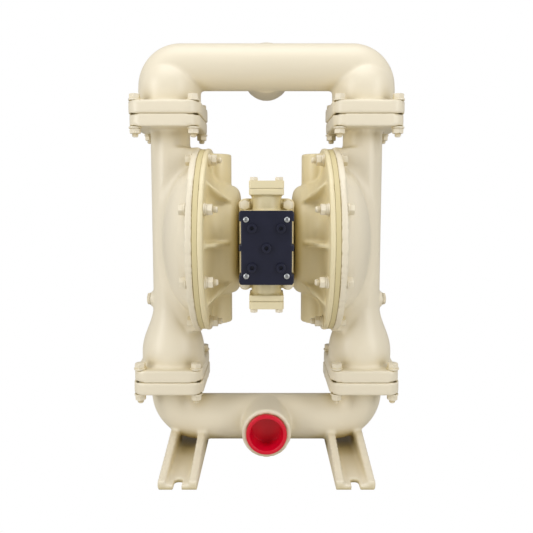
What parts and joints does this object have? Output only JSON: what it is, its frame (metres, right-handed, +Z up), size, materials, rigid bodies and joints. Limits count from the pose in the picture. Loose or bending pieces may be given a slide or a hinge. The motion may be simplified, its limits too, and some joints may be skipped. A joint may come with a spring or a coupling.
{
  "type": "air operated diaphragm pump",
  "caption": "Double diaphragm pump with bolted pipe manifolds, ribbed round chambers, a front air valve with a dark cover and a plugged front port.",
  "frame": {"origin": "centre of the bounding box at the level of the feet's soles", "axes": "+Z up along the risers, +X along the diaphragm rod to the right seen from the valve side, -Y towards the air valve and the suction port"},
  "size_m": [0.404, 0.282, 0.6394],
  "materials": {
    "painted_casting": "cream satin paint over cast metal",
    "painted_air_casting": "cream satin paint over cast aluminium",
    "painted_gasket": "cream paint over a fibre gasket",
    "painted_rubber_rim": "cream paint over a moulded rubber rim",
    "painted_steel": "cream satin paint over steel",
    "navy_plastic": "moulded dark navy plastic",
    "zinc_steel": "bright zinc plate",
    "red_plastic": "soft moulded red polyethylene",
    "bright_steel": "ground steel",
    "plate_steel": "turned steel",
    "bronze": "turned bronze",
    "sleeve_aluminium": "honed aluminium",
    "ball_rubber": "moulded rubber",
    "seat_steel": "turned stainless steel",
    "oring_rubber": "moulded rubber"
  },
  "bodies": {
    "pump": {"air_cap_left": "painted_casting", "air_cap_right": "painted_casting", "center_body": "painted_air_casting", "chamber_bolts_left": "painted_steel", "chamber_bolts_right": "painted_steel", "chamber_nuts_left": "painted_steel", "chamber_nuts_right": "painted_steel", "chamber_washers_left": "painted_steel", "chamber_washers_right": "painted_steel", "cover_bosses": "navy_plastic", "cover_screws": "zinc_steel", "diaphragm_left": "painted_rubber_rim", "diaphragm_right": "painted_rubber_rim", "discharge_manifold": "painted_casting", "end_cover_bolts": "painted_steel", "end_cover_bottom": "painted_air_casting", "end_cover_top": "painted_air_casting", "end_gasket_bottom": "painted_gasket", "end_gasket_top": "painted_gasket", "fluid_cap_left": "painted_casting", "fluid_cap_right": "painted_casting", "inlet_seat_left": "seat_steel", "inlet_seat_right": "seat_steel", "lower_flange_bolts": "painted_steel", "lower_flange_nuts": "painted_steel", "lower_flange_washers": "painted_steel", "outlet_seat_left": "seat_steel", "outlet_seat_right": "seat_steel", "pilot_bushes": "bronze", "riser_plug_left": "painted_steel", "riser_plug_right": "painted_steel", "rod_bushes": "bronze", "seat_orings": "oring_rubber", "suction_manifold": "painted_casting", "upper_flange_bolts": "painted_steel", "upper_flange_nuts": "painted_steel", "upper_flange_washers": "painted_steel", "valve_body": "painted_air_casting", "valve_bolts": "painted_steel", "valve_cover": "navy_plastic", "valve_gasket": "painted_gasket", "valve_sleeve": "sleeve_aluminium"},
    "rod": {"diaphragm_rod": "bright_steel", "inner_plate_left": "plate_steel", "inner_plate_right": "plate_steel", "outer_plate_left": "plate_steel", "outer_plate_right": "plate_steel"},
    "pilot": {"pilot_spool": "bright_steel", "pilot_pin_left": "bright_steel", "pilot_pin_right": "bright_steel"},
    "spool": {"valve_spool": "bright_steel"},
    "inlet_ball_left": {"inlet_ball_left": "ball_rubber"},
    "inlet_ball_right": {"inlet_ball_right": "ball_rubber"},
    "outlet_ball_left": {"outlet_ball_left": "ball_rubber"},
    "outlet_ball_right": {"outlet_ball_right": "ball_rubber"},
    "port_plug": {"suction_port_plug": "red_plastic"}
  },
  "joints": [
    {"name": "rod_stroke", "type": "slide", "parent": "pump", "child": "rod", "axis": [1, 0, 0], "range_m": [-0.018, 0.018], "deforming": ["diaphragm_left", "diaphragm_right"]},
    {"name": "pilot_shift", "type": "slide", "parent": "pump", "child": "pilot", "axis": [1, 0, 0], "range_m": [-0.0036, 0.0036]},
    {"name": "spool_shift", "type": "slide", "parent": "pump", "child": "spool", "axis": [0, 0, 1], "range_m": [-0.008, 0.008]},
    {"name": "inlet_ball_left_lift", "type": "slide", "parent": "pump", "child": "inlet_ball_left", "axis": [0, 0, 1], "range_m": [0, 0.014]},
    {"name": "inlet_ball_right_lift", "type": "slide", "parent": "pump", "child": "inlet_ball_right", "axis": [0, 0, 1], "range_m": [0, 0.014]},
    {"name": "outlet_ball_left_lift", "type": "slide", "parent": "pump", "child": "outlet_ball_left", "axis": [0, 0, 1], "range_m": [0, 0.014]},
    {"name": "outlet_ball_right_lift", "type": "slide", "parent": "pump", "child": "outlet_ball_right", "axis": [0, 0, 1], "range_m": [0, 0.014]},
    {"name": "port_plug_pull", "type": "slide", "parent": "pump", "child": "port_plug", "axis": [0, -1, 0], "range_m": [0, 0.045]}
  ],
  "couplings": [
    {"joint": "pilot_shift", "follows": "rod_stroke", "ratio": 0.2}
  ]
}
